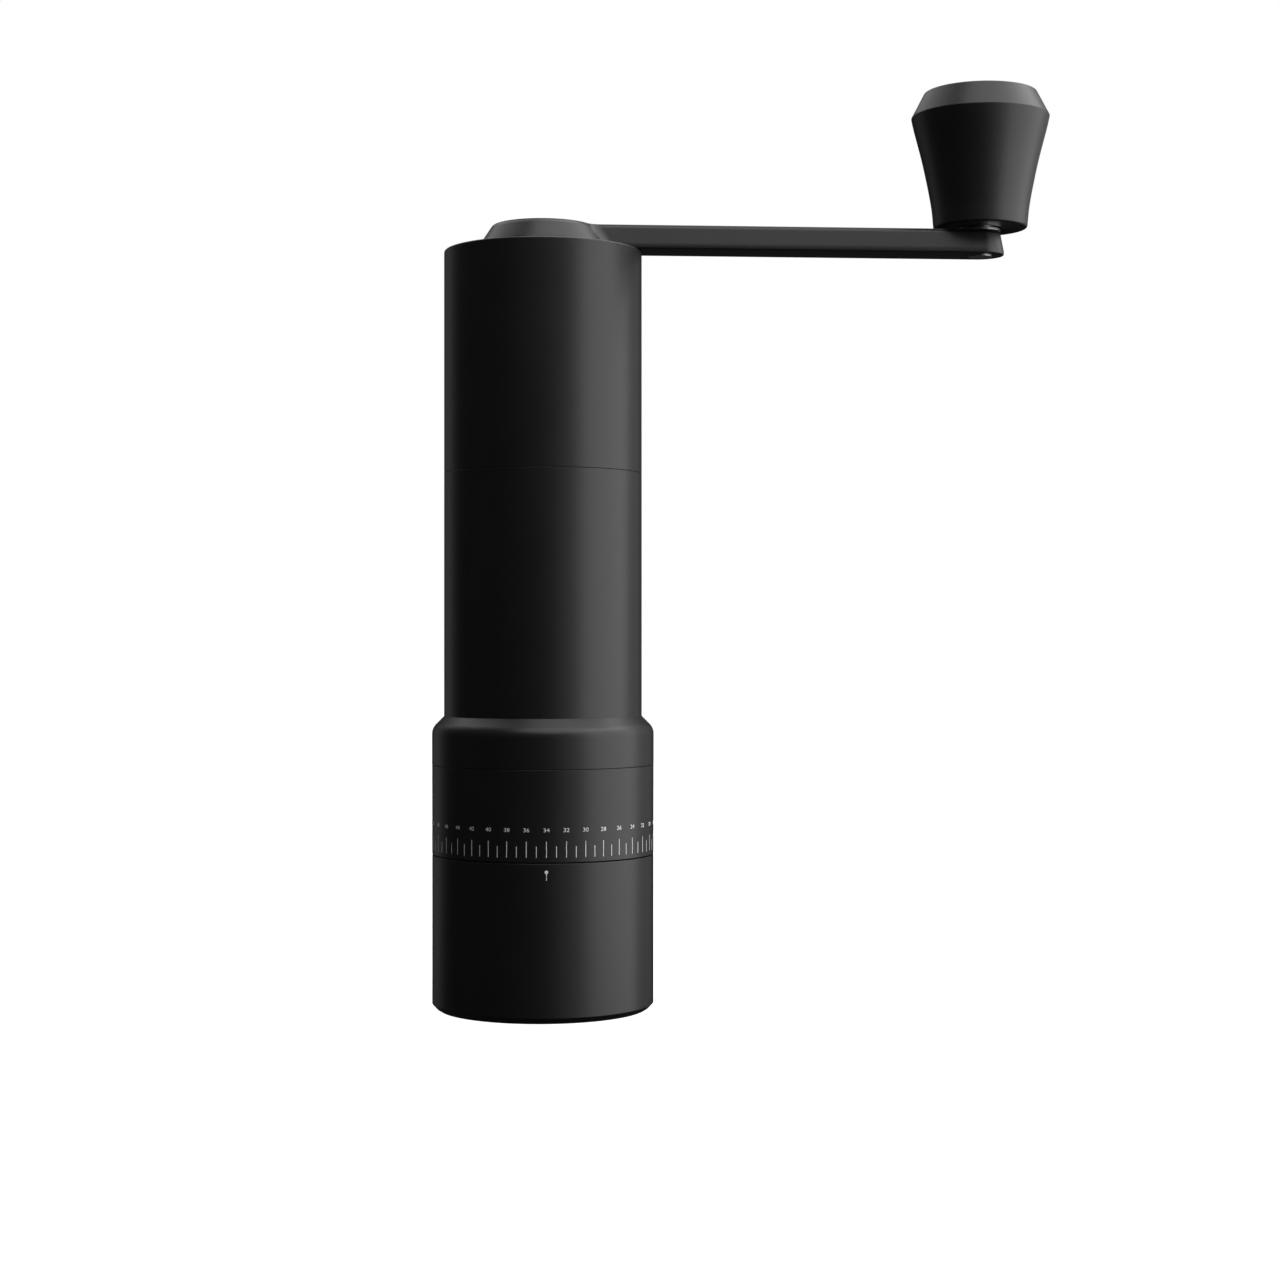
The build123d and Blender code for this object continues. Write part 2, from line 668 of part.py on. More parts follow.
with BuildPart() as burr_retainer:
    revolve(tube_section(OUTER_BURR_LOW_R, BURR_R, CARRIER_LOW_Z, RETAINER_TOP_Z), axis=Axis.Z)
    with Locations(*[upright(angle, OUTER_BURR_LOW_R, CARRIER_LOW_Z) for angle in
                     RETAINER_NOTCH_ANGLES]):
        Box(RETAINER_NOTCH_DEEP, RETAINER_NOTCH, RETAINER_NOTCH, mode=Mode.SUBTRACT)
burr_retainer.part.label = "burr_retainer"
export_step(burr_retainer.part, "parts/burr_retainer.step")

# ---------------------------------------------------------------- drive group

UPPER_RACE_TOP_Z = UPPER_BEARING_Z + BEARING_WIDE
LOWER_RACE_TOP_Z = LOWER_BEARING_Z + BEARING_WIDE

with BuildPart() as drive_shaft:
    # Round shaft with a circlip groove, then the hexagonal drive end
    revolve(
        section(
            (
                (0, SHAFT_LOW_Z),
                (SHAFT_R - SHAFT_EDGE, SHAFT_LOW_Z),
                (SHAFT_R, SHAFT_LOW_Z + SHAFT_EDGE),
                (SHAFT_R, UPPER_RACE_TOP_Z),
                (CIRCLIP_GROOVE_R, UPPER_RACE_TOP_Z),
                (CIRCLIP_GROOVE_R, UPPER_RACE_TOP_Z + CIRCLIP_THICK),
                (SHAFT_R, UPPER_RACE_TOP_Z + CIRCLIP_THICK),
                (SHAFT_R, SHAFT_HEX_Z),
                (0, SHAFT_HEX_Z),
            )
        ),
        axis=Axis.Z,
    )
    with BuildSketch(Plane.XY.offset(SHAFT_HEX_Z)):
        RegularPolygon(SHAFT_FLATS / 2, 6, major_radius=False)
    extrude(amount=SHAFT_TOP_Z - SHAFT_HEX_Z)
drive_shaft.part.label = "drive_shaft"
export_step(drive_shaft.part, "parts/drive_shaft.step")

with BuildPart() as bearing_inner_races:
    for low in (LOWER_BEARING_Z, UPPER_BEARING_Z):
        revolve(tube_section(SHAFT_R, RACE_IN_R, low, low + BEARING_WIDE), axis=Axis.Z)
bearing_inner_races.part.label = "bearing_inner_races"
export_step(bearing_inner_races.part, "parts/bearing_inner_races.step")

with BuildPart() as bearing_spacer:
    revolve(tube_section(SHAFT_R, RACE_IN_R, LOWER_RACE_TOP_Z, UPPER_BEARING_Z), axis=Axis.Z)
bearing_spacer.part.label = "bearing_spacer"
export_step(bearing_spacer.part, "parts/bearing_spacer.step")

with BuildPart() as shaft_circlip:
    clip_high = UPPER_RACE_TOP_Z + CIRCLIP_THICK
    revolve(tube_section(CIRCLIP_GROOVE_R, CIRCLIP_R, UPPER_RACE_TOP_Z, clip_high), axis=Axis.Z)
    add(
        clip_gap(CIRCLIP_GROOVE_R, CIRCLIP_R, UPPER_RACE_TOP_Z, clip_high, CIRCLIP_GAP),
        mode=Mode.SUBTRACT,
    )
shaft_circlip.part.label = "shaft_circlip"
export_step(shaft_circlip.part, "parts/shaft_circlip.step")

with BuildPart() as burr_spacer:
    revolve(tube_section(SHAFT_R, RACE_IN_R, INNER_BURR_TOP_Z, LOWER_BEARING_Z), axis=Axis.Z)
burr_spacer.part.label = "burr_spacer"
export_step(burr_spacer.part, "parts/burr_spacer.step")

with BuildPart() as inner_burr:
    revolve(
        section(
            (
                (SHAFT_R, INNER_BURR_LOW_Z),
                (INNER_BURR_LOW_R, INNER_BURR_LOW_Z),
                (INNER_BURR_LOW_R, INNER_BURR_EDGE_Z),
                (INNER_BURR_TOP_R, INNER_BURR_TOP_Z),
                (SHAFT_R, INNER_BURR_TOP_Z),
            )
        ),
        axis=Axis.Z,
    )
    # Slanted flutes that draw the beans down the cone
    cone_tall = INNER_BURR_TOP_Z - INNER_BURR_EDGE_Z
    lean = degrees(atan2(INNER_BURR_LOW_R - INNER_BURR_TOP_R, cone_tall))
    middle_r = (INNER_BURR_LOW_R + INNER_BURR_TOP_R) / 2
    middle_z = (INNER_BURR_TOP_Z + INNER_BURR_EDGE_Z) / 2
    with Locations(*[upright(360 / INNER_FLUTES * index, middle_r, middle_z)
                     * Rot(0, -lean, 0) * Rot(INNER_FLUTE_SKEW, 0, 0)
                     for index in range(INNER_FLUTES)]):
        Box(INNER_FLUTE_DEEP, INNER_FLUTE_WIDE, 3 * cone_tall, mode=Mode.SUBTRACT)
inner_burr.part.label = "inner_burr"
export_step(inner_burr.part, "parts/inner_burr.step")

WASHER_LOW_Z = INNER_BURR_LOW_Z - WASHER_THICK

with BuildPart() as burr_washer:
    revolve(tube_section(SHAFT_R, WASHER_R, WASHER_LOW_Z, INNER_BURR_LOW_Z), axis=Axis.Z)
burr_washer.part.label = "burr_washer"
export_step(burr_washer.part, "parts/burr_washer.step")

with BuildPart() as burr_nut:
    with BuildSketch(Plane.XY.offset(WASHER_LOW_Z - NUT_TALL)):
        RegularPolygon(NUT_FLATS / 2, 6, major_radius=False)
        Circle(SHAFT_R, mode=Mode.SUBTRACT)
    extrude(amount=NUT_TALL)
burr_nut.part.label = "burr_nut"
export_step(burr_nut.part, "parts/burr_nut.step")

# ---------------------------------------------------------------- lid group

O_RING_GROOVE_R = O_RING_R - O_RING_WIRE

with BuildPart() as lid_disc:
    # Flat disc flush with the rim, hollow skirt with a ring groove, and central hub
    revolve(
        section(
            (
                (LID_BORE_R, LID_HUB_Z),
                (LID_HUB_R, LID_HUB_Z),
                (LID_HUB_R, LID_HOLLOW_Z),
                (LID_HOLLOW_R, LID_HOLLOW_Z),
                (LID_HOLLOW_R, LID_SKIRT_Z),
                (LID_SKIRT_R, LID_SKIRT_Z),
                (LID_SKIRT_R, O_RING_Z - O_RING_WIRE),
                (O_RING_GROOVE_R, O_RING_Z - O_RING_WIRE),
                (O_RING_GROOVE_R, O_RING_Z + O_RING_WIRE),
                (LID_SKIRT_R, O_RING_Z + O_RING_WIRE),
                (LID_SKIRT_R, LID_LOW_Z),
                (LID_R, LID_LOW_Z),
                (LID_R, RIM_Z - LID_EDGE),
                (LID_R - LID_EDGE, RIM_Z),
                (LID_BORE_R, RIM_Z),
            )
        ),
        axis=Axis.Z,
    )
lid_disc.part.label = "lid_disc"
export_step(lid_disc.part, "parts/lid_disc.step")

with BuildPart() as lid_o_ring:
    with Locations((0, 0, O_RING_Z)):
        Torus(O_RING_R, O_RING_WIRE)
lid_o_ring.part.label = "lid_o_ring"
export_step(lid_o_ring.part, "parts/lid_o_ring.step")

STEM_BUSH_R = STEM_R + RUNNING_GAP

with BuildPart() as lid_bush:
    revolve(tube_section(STEM_BUSH_R, LID_BORE_R, BUSH_LOW_Z, RIM_Z + BUSH_FLANGE), axis=Axis.Z)
    revolve(tube_section(STEM_BUSH_R, BUSH_FLANGE_R, RIM_Z, RIM_Z + BUSH_FLANGE), axis=Axis.Z)
lid_bush.part.label = "lid_bush"
export_step(lid_bush.part, "parts/lid_bush.step")

# ---------------------------------------------------------------- crank group

with BuildPart() as crank_arm:
    # Thin straight foot, then drafted sides up to the flat top
    with BuildSketch(Plane.XY.offset(ARM_LOW_Z)) as foot:
        make_face(crank_outline(ARM_LOW_HALF, BOSS_LOW_R))
    extrude(amount=ARM_EDGE_Z - ARM_LOW_Z)
    with BuildSketch(Plane.XY.offset(ARM_EDGE_Z)) as lower:
        make_face(crank_outline(ARM_LOW_HALF, BOSS_LOW_R))
    with BuildSketch(Plane.XY.offset(ARM_TOP_Z)) as upper:
        make_face(crank_outline(ARM_TOP_HALF, BOSS_TOP_R))
    loft([lower.sketch.face(), upper.sketch.face()], ruled=True)
    # Blind seat for the stem and through hole for the knob's axle
    with Locations((0, 0, ARM_LOW_Z)):
        Cylinder(STEM_R, STEM_TOP_Z - ARM_LOW_Z, align=ON_FACE, mode=Mode.SUBTRACT)
    with Locations((CRANK_THROW, 0, ARM_LOW_Z)):
        Cylinder(AXLE_R, ARM_TOP_Z - ARM_LOW_Z, align=ON_FACE, mode=Mode.SUBTRACT)
crank_arm.part.label = "crank_arm"
export_step(crank_arm.part, "parts/crank_arm.step")

with BuildPart() as crank_stem:
    revolve(
        section(
            (
                (0, STEM_LOW_Z),
                (STEM_R, STEM_LOW_Z),
                (STEM_R, HUB_CLIP_Z),
                (HUB_CLIP_GROOVE_R, HUB_CLIP_Z),
                (HUB_CLIP_GROOVE_R, HUB_CLIP_Z + HUB_CLIP_THICK),
                (STEM_R, HUB_CLIP_Z + HUB_CLIP_THICK),
                (STEM_R, STEM_TOP_Z),
                (0, STEM_TOP_Z),
            )
        ),
        axis=Axis.Z,
    )
    with BuildSketch(Plane.XY.offset(STEM_LOW_Z)):
        RegularPolygon(SOCKET_FLATS / 2, 6, major_radius=False)
    extrude(amount=HUB_MAGNET_Z - STEM_LOW_Z, mode=Mode.SUBTRACT)
    with Locations((0, 0, HUB_MAGNET_Z)):
        Cylinder(HUB_MAGNET_R, STEM_TOP_Z - HUB_MAGNET_Z, align=ON_FACE, mode=Mode.SUBTRACT)
crank_stem.part.label = "crank_stem"
export_step(crank_stem.part, "parts/crank_stem.step")

with BuildPart() as hub_magnet:
    with Locations((0, 0, HUB_MAGNET_Z)):
        Cylinder(HUB_MAGNET_R, STEM_TOP_Z - HUB_MAGNET_Z, align=ON_FACE)
hub_magnet.part.label = "hub_magnet"
export_step(hub_magnet.part, "parts/hub_magnet.step")

with BuildPart() as hub_circlip:
    clip_high = HUB_CLIP_Z + HUB_CLIP_THICK
    revolve(tube_section(HUB_CLIP_GROOVE_R, HUB_CLIP_R, HUB_CLIP_Z, clip_high), axis=Axis.Z)
    add(
        clip_gap(HUB_CLIP_GROOVE_R, HUB_CLIP_R, HUB_CLIP_Z, clip_high, HUB_CLIP_GAP),
        mode=Mode.SUBTRACT,
    )
hub_circlip.part.label = "hub_circlip"
export_step(hub_circlip.part, "parts/hub_circlip.step")

AXLE_GROOVE_LOW_Z = KNOB_RING_Z - FREE_GAP
AXLE_GROOVE_TOP_Z = KNOB_RING_Z + KNOB_RING_THICK + FREE_GAP

with BuildPart() as knob_axle:
    revolve(
        section(
            (
                (0, AXLE_LOW_Z),
                (AXLE_R, AXLE_LOW_Z),
                (AXLE_R, ARM_TOP_Z),
                (AXLE_FLANGE_R, ARM_TOP_Z),
                (AXLE_FLANGE_R, ARM_TOP_Z + AXLE_FLANGE),
                (AXLE_R, ARM_TOP_Z + AXLE_FLANGE),
                (AXLE_R, AXLE_GROOVE_LOW_Z),
                (AXLE_GROOVE_R, AXLE_GROOVE_LOW_Z),
                (AXLE_GROOVE_R, AXLE_GROOVE_TOP_Z),
                (AXLE_R, AXLE_GROOVE_TOP_Z),
                (AXLE_R, AXLE_TOP_Z),
                (0, AXLE_TOP_Z),
            ),
            KNOB_PLANE,
        ),
        axis=KNOB_AXIS,
    )
knob_axle.part.label = "knob_axle"
export_step(knob_axle.part, "parts/knob_axle.step")

# ---------------------------------------------------------------- knob group

KNOB_RING_TOP_Z = KNOB_RING_Z + KNOB_RING_THICK

with BuildPart() as knob_shell:
    # Flared outside with a sloped crown and flat top, and a grooved blind bore
    with BuildSketch(KNOB_PLANE):
        with BuildLine():
            Polyline(
                (KNOB_WIDE_R, KNOB_WIDE_Z),
                (KNOB_FACE_R, KNOB_TOP_Z),
                (0, KNOB_TOP_Z),
                (0, KNOB_BORE_TOP_Z),
                (KNOB_BORE_R, KNOB_BORE_TOP_Z),
                (KNOB_BORE_R, KNOB_RING_TOP_Z),
                (KNOB_RING_R, KNOB_RING_TOP_Z),
                (KNOB_RING_R, KNOB_RING_Z),
                (KNOB_BORE_R, KNOB_RING_Z),
                (KNOB_BORE_R, BUSH_LOW_SPAN[0]),
                (AXLE_FLANGE_R + FREE_GAP, BUSH_LOW_SPAN[0]),
                (AXLE_FLANGE_R + FREE_GAP, KNOB_LOW_Z),
                (KNOB_BASE_R, KNOB_LOW_Z),
            )
            Spline((KNOB_BASE_R, KNOB_LOW_Z), *KNOB_FLARE, (KNOB_WIDE_R, KNOB_WIDE_Z))
        make_face()
    revolve(axis=KNOB_AXIS)
knob_shell.part.label = "knob_shell"
export_step(knob_shell.part, "parts/knob_shell.step")

with BuildPart() as knob_bushes:
    for low, high in (BUSH_LOW_SPAN, BUSH_HIGH_SPAN):
        ring = tube_section(AXLE_R + RUNNING_GAP, KNOB_BORE_R, low, high, KNOB_PLANE)
        revolve(ring, axis=KNOB_AXIS)
knob_bushes.part.label = "knob_bushes"
export_step(knob_bushes.part, "parts/knob_bushes.step")

with BuildPart() as knob_retainer:
    ring = tube_section(KNOB_RING_IN_R, KNOB_RING_R, KNOB_RING_Z, KNOB_RING_TOP_Z, KNOB_PLANE)
    revolve(ring, axis=KNOB_AXIS)
    add(
        clip_gap(KNOB_RING_IN_R, KNOB_RING_R, KNOB_RING_Z, KNOB_RING_TOP_Z, KNOB_RING_GAP,
                 CRANK_THROW),
        mode=Mode.SUBTRACT,
    )
knob_retainer.part.label = "knob_retainer"
export_step(knob_retainer.part, "parts/knob_retainer.step")
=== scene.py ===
"""Looks of the hand crank coffee grinder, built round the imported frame.

Turned pieces are surfaces of revolution worked out as whole numpy arrays, the crank is a stack
of outlines, and the dial's scale is wrapped round its ring. All lengths are metres.
"""

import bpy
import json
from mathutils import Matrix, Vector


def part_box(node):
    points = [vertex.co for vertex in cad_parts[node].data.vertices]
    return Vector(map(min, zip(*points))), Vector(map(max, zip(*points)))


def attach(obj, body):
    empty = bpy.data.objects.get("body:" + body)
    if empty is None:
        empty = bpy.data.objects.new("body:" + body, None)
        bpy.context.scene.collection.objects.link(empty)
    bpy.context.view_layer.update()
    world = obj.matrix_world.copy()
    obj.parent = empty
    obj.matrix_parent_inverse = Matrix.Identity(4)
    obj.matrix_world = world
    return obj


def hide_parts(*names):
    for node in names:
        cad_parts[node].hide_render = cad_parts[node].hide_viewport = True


bl_info = {
    "name": "Hand crank coffee grinder",
    "version": (1, 0, 0),
    "blender": (4, 5, 0),
    "location": "3D View > Sidebar > Grinder",
    "description": "Builds the visible surfaces, finishes and studio of a hand crank coffee grinder",
    "category": "Add Mesh",
}

import json
import math

import bpy
import numpy as np

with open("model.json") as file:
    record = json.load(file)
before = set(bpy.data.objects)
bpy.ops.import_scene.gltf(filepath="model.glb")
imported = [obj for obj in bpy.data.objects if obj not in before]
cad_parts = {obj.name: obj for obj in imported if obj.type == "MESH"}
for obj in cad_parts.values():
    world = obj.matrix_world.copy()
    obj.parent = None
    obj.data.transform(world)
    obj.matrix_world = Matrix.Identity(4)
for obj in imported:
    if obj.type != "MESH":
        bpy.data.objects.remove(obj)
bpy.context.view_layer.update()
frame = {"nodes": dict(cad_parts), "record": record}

MM = 0.001
FULL_TURN = 2 * math.pi
FRONT = -math.pi / 2  # azimuth of the index mark
SETTINGS = "grinder_settings"

ARC_POINTS = 6  # points on each rounded corner
CORNER_POINTS = ARC_POINTS + 2  # with the guard points before and after them

SCALE_LINES = 72
LINE_PITCH = FULL_TURN / SCALE_LINES
PRINT_ROOT = 0.1 * MM  # how deep the printed marks reach into the surface under them


def top_of(node):
    """Height of a CAD node's highest point."""
    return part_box(node)[1].z


def foot_of(node):
    """Height of a CAD node's lowest point."""
    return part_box(node)[0].z


def radius_of(node):
    """Half of a CAD node's width along Y, its radius when it is turned about Z."""
    low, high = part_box(node)
    return (high.y - low.y) / 2


def centre_of(node):
    """Middle of a CAD node's box, seen from above."""
    low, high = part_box(node)
    return (low.x + high.x) / 2, (low.y + high.y) / 2


# ---------------------------------------------------------------- shapes


def rounded(corners, radii, steps=ARC_POINTS, guard=0.04 * MM):
    """Path of (radius, height) corners with an arc at each corner.

    An arc of radius r in a corner of inner angle w starts r / tan(w / 2) before the corner, and
    its points turn evenly from one side's normal to the other's. A guard point just outside each
    end of the arc keeps the shading of the flat parts flat. A radius of 0 leaves a sharp corner.
    """
    smallest = 1e-7
    p = np.asarray(corners, float)
    back = np.roll(p, 1, axis=0) - p
    ahead = np.roll(p, -1, axis=0) - p
    back /= np.linalg.norm(back, axis=1, keepdims=True)
    ahead /= np.linalg.norm(ahead, axis=1, keepdims=True)
    half = np.arccos(np.clip((back * ahead).sum(1), -1, 1)) / 2
    r = np.maximum(np.asarray(radii, float), smallest)
    reach = (r / np.tan(half))[:, None]
    middle = p + (back + ahead) / np.linalg.norm(back + ahead, axis=1, keepdims=True) * (
        r / np.sin(half)
    )[:, None]
    first = (p + back * reach - middle) / r[:, None]
    last = (p + ahead * reach - middle) / r[:, None]
    sweep = np.maximum(math.pi - 2 * half, 1e-6)[:, None]
    part = np.linspace(0, 1, steps)[None, :]
    weight_a = np.sin((1 - part) * sweep) / np.sin(sweep)
    weight_b = np.sin(part * sweep) / np.sin(sweep)
    arc = first[:, None, :] * weight_a[..., None] + last[:, None, :] * weight_b[..., None]
    arc = middle[:, None, :] + arc * r[:, None, None]
    before = p + back * (reach + guard)
    after = p + ahead * (reach + guard)
    return np.concatenate([before[:, None], arc, after[:, None]], axis=1).reshape(-1, 2)


def add_mesh(name, verts, faces, material, smooth=True):
    """New mesh object from arrays of points and faces."""
    mesh = bpy.data.meshes.new(name)
    mesh.from_pydata(verts, [], faces)
    mesh.polygons.foreach_set("use_smooth", np.full(len(mesh.polygons), smooth))
    mesh.materials.append(material)
    mesh.update()
    piece = bpy.data.objects.new(name, mesh)
    bpy.context.scene.collection.objects.link(piece)
    return piece


def grid_faces(rows, columns, wrap_rows, wrap_columns, start=0):
    """Quads of a grid of points: (i, j), (i + 1, j), (i + 1, j + 1), (i, j + 1)."""
    i = np.arange(rows if wrap_rows else rows - 1)
    j = np.arange(columns if wrap_columns else columns - 1)
    i, j = np.meshgrid(i, j, indexing="ij")
    i, j = i.ravel(), j.ravel()
    i2, j2 = (i + 1) % rows, (j + 1) % columns
    return start + np.stack(
        [i * columns + j, i2 * columns + j, i2 * columns + j2, i * columns + j2], axis=1
    )


def turned(name, profile, material, centre=(0, 0), segments=192):
    """Closed ring turned about a vertical axis: (r cos a, r sin a, z) for a closed loop of (r, z).

    The loop runs anticlockwise with radius to the right and height up, so faces point outwards.
    """
    angle = np.linspace(0, FULL_TURN, segments, endpoint=False)
    r, z = np.asarray(profile).T
    x = centre[0] + np.outer(np.cos(angle), r)
    y = centre[1] + np.outer(np.sin(angle), r)
    verts = np.stack([x, y, np.broadcast_to(z, x.shape)], axis=-1).reshape(-1, 3)
    return add_mesh(name, verts, grid_faces(segments, len(r), True, True), material)


def spun(name, profile, material, centre=(0, 0), segments=192):
    """Solid turned about a vertical axis from an open path that starts and ends on the axis.

    Points are (r cos a, r sin a, z); the path's two ends become single pole points.
    """
    angle = np.linspace(0, FULL_TURN, segments, endpoint=False)
    path = np.asarray(profile)
    r, z = path[1:-1].T
    x = centre[0] + np.outer(np.cos(angle), r)
    y = centre[1] + np.outer(np.sin(angle), r)
    ring = np.stack([x, y, np.broadcast_to(z, x.shape)], axis=-1).reshape(-1, 3)
    poles = np.array([[*centre, path[0, 1]], [*centre, path[-1, 1]]])
    count = len(r)
    quads = grid_faces(segments, count, True, False)
    i = np.arange(segments)
    i2 = (i + 1) % segments
    low = np.stack([np.full(segments, len(ring)), i2 * count, i * count], axis=1)
    high = np.stack(
        [np.full(segments, len(ring) + 1), i * count + count - 1, i2 * count + count - 1], axis=1
    )
    faces = quads.tolist() + low.tolist() + high.tolist()
    return add_mesh(name, np.concatenate([ring, poles]), faces, material)


def hermite(points, steps=10):
    """Smooth path through points: cubic pieces whose end slopes are half the chord of the
    neighbours, evaluated at evenly spaced parameters."""
    p = np.asarray(points, float)
    slope = np.gradient(p, axis=0)
    t = np.linspace(0, 1, steps, endpoint=False)[None, :, None]
    a, b = p[:-1, None], p[1:, None]
    m, n = slope[:-1, None], slope[1:, None]
    curve = (
        (2 * t**3 - 3 * t**2 + 1) * a
        + (t**3 - 2 * t**2 + t) * m
        + (3 * t**2 - 2 * t**3) * b
        + (t**3 - t**2) * n
    )
    return np.concatenate([curve.reshape(-1, 2), p[-1:]])


def crank_outline(half, hub, throw, neck, steps=24):
    """Plan outline of the crank, anticlockwise: the round end about (throw, 0), the straight
    upper side, the upper neck arc, the hub arc about the axis, the lower neck arc and the lower
    straight side. A neck arc of radius n touches the side y = h and the hub circle R, so its
    middle is at y = h + n and x = sqrt((R + n)^2 - (h + n)^2)."""
    mid_y = half + neck
    mid_x = math.sqrt((hub + neck) ** 2 - mid_y**2)
    join = math.atan2(mid_y, mid_x)
    end = np.linspace(-math.pi / 2, math.pi / 2, 2 * steps)
    hub_arc = np.linspace(join, FULL_TURN - join, 4 * steps)
    bend = np.linspace(-math.pi / 2, join - math.pi, steps)
    side = np.linspace(throw, mid_x, steps // 2)[1:-1]
    upper = np.stack([mid_x + neck * np.cos(bend), mid_y + neck * np.sin(bend)], axis=1)
    parts = [
        np.stack([throw + half * np.cos(end), half * np.sin(end)], axis=1),
        np.stack([side, np.full(len(side), half)], axis=1),
        upper,
        np.stack([hub * np.cos(hub_arc), hub * np.sin(hub_arc)], axis=1)[1:-1],
        upper[::-1] * [1, -1],
        np.stack([side[::-1], np.full(len(side), -half)], axis=1),
    ]
    return np.concatenate(parts)


def stacked(name, outlines, heights, material):
    """Closed solid from matching outlines at rising heights, with a flat face at each end."""
    rows, count = len(outlines), len(outlines[0])
    z = np.repeat(np.asarray(heights), count)[:, None]
    verts = np.hstack([np.concatenate(outlines), z])
    around = grid_faces(rows, count, False, True)[:, ::-1]
    caps = [list(range(count))[::-1], list(range((rows - 1) * count, rows * count))]
    return add_mesh(name, verts, around.tolist() + caps, material)


def wrapped(flat, radius, azimuth):
    """Points (across, up, out) laid on a cylinder about Z: angle = azimuth + across / radius,
    distance = radius + out, height = up."""
    across, up, out = np.asarray(flat, float).T
    angle = azimuth + across / radius
    return np.stack([(radius + out) * np.cos(angle), (radius + out) * np.sin(angle), up], axis=1)


# ---------------------------------------------------------------- finishes


def noise_between(tree, scale, detail, low, high, stretch=(1, 1, 1)):
    """Noise on Object coordinates, with its middle part mapped to a range of values."""
    where = tree.nodes.new("ShaderNodeTexCoord")
    mapping = tree.nodes.new("ShaderNodeMapping")
    mapping.inputs["Scale"].default_value = stretch
    noise = tree.nodes.new("ShaderNodeTexNoise")
    noise.inputs["Scale"].default_value = scale
    noise.inputs["Detail"].default_value = detail
    spread = tree.nodes.new("ShaderNodeMapRange")
    spread.inputs["From Min"].default_value = 0.3
    spread.inputs["From Max"].default_value = 0.7
    spread.inputs["To Min"].default_value = low
    spread.inputs["To Max"].default_value = high
    tree.links.new(where.outputs["Object"], mapping.inputs["Vector"])
    tree.links.new(mapping.outputs["Vector"], noise.inputs["Vector"])
    tree.links.new(noise.outputs["Fac"], spread.inputs["Value"])
    return noise, spread


def new_finish(name, dark, light, rough, metallic, grain, depth, stretch=(1, 1, 1), coarse=90):
    """Finish with a slow drift between two colours, a drifting roughness and a fine grain."""
    material = bpy.data.materials.new(name)
    material.use_nodes = True
    tree = material.node_tree
    shader = tree.nodes["Principled BSDF"]
    shader.inputs["Metallic"].default_value = metallic
    drift, drift_value = noise_between(tree, coarse, 3, 0, 1, stretch)
    mix = tree.nodes.new("ShaderNodeMix")
    mix.data_type = "RGBA"
    mix.inputs["A"].default_value = (*dark, 1)
    mix.inputs["B"].default_value = (*light, 1)
    tree.links.new(drift_value.outputs["Result"], mix.inputs["Factor"])
    tree.links.new(mix.outputs["Result"], shader.inputs["Base Color"])
    grain_noise, rough_value = noise_between(tree, grain, 4, rough[0], rough[1], stretch)
    tree.links.new(rough_value.outputs["Result"], shader.inputs["Roughness"])
    bump = tree.nodes.new("ShaderNodeBump")
    bump.inputs["Strength"].default_value = 0.6
    bump.inputs["Distance"].default_value = depth
    tree.links.new(grain_noise.outputs["Fac"], bump.inputs["Height"])
    tree.links.new(bump.outputs["Normal"], shader.inputs["Normal"])
    return material


def finishes():
    """All finishes by name, made once."""
    if "satin_black" in bpy.data.materials:
        return {m.name: m for m in bpy.data.materials}
    looks = getattr(bpy.context.scene, SETTINGS)
    black = np.array(looks.body_colour)
    made = {
        "satin_black": new_finish(
            "satin_black", black * 0.9, black * 1.15, (0.34, 0.42), 0.0, 5200, 4e-6
        ),
        "crank_satin": new_finish(
            "crank_satin", black * 0.95, black * 1.2, (0.34, 0.42), 0.0, 5200, 4e-6
        ),
        "knob_satin": new_finish(
            "knob_satin", black * 0.95, black * 1.2, (0.38, 0.46), 0.0, 4200, 6e-6
        ),
        "pad_rubber": new_finish(
            "pad_rubber", (0.008,) * 3, (0.014,) * 3, (0.7, 0.85), 0.0, 3000, 2e-5
        ),
        "scale_white": new_finish(
            "scale_white", tuple(looks.scale_colour), (0.95,) * 3, (0.45, 0.6), 0.0, 4000, 2e-6
        ),
        "turned_steel": new_finish(
            "turned_steel", (0.42, 0.42, 0.43), (0.56, 0.56, 0.57), (0.22, 0.34), 1.0, 900, 4e-6,
            (1, 1, 14)
        ),
        "turned_aluminium": new_finish(
            "turned_aluminium", (0.6, 0.6, 0.62), (0.72, 0.72, 0.73), (0.3, 0.42), 1.0, 800, 6e-6,
            (1, 1, 12)
        ),
        "polished_steel": new_finish(
            "polished_steel", (0.6, 0.6, 0.61), (0.68, 0.68, 0.69), (0.08, 0.16), 1.0, 2000, 1e-6
        ),
        "spring_steel": new_finish(
            "spring_steel", (0.3, 0.3, 0.31), (0.42, 0.41, 0.4), (0.25, 0.38), 1.0, 2600, 4e-6
        ),
        "burr_steel": new_finish(
            "burr_steel", (0.34, 0.34, 0.35), (0.5, 0.5, 0.51), (0.28, 0.42), 1.0, 1800, 8e-6
        ),
        "oiled_bronze": new_finish(
            "oiled_bronze", (0.38, 0.22, 0.09), (0.52, 0.32, 0.14), (0.3, 0.45), 1.0, 1600, 1e-5
        ),
    }
    return made


NODE_FINISH = {
    "rubber": "pad_rubber",
    "magnet": "polished_steel",
    "steel": "turned_steel",
    "spring_steel": "spring_steel",
    "bearing_steel": "polished_steel",
    "inner_aluminium": "turned_aluminium",
    "burr_steel": "burr_steel",
    "bronze": "oiled_bronze",
    "body_black": "satin_black",
    "dial_black": "satin_black",
    "crank_black": "crank_satin",
    "lid_black": "satin_black",
    "knob_black": "knob_satin",
}


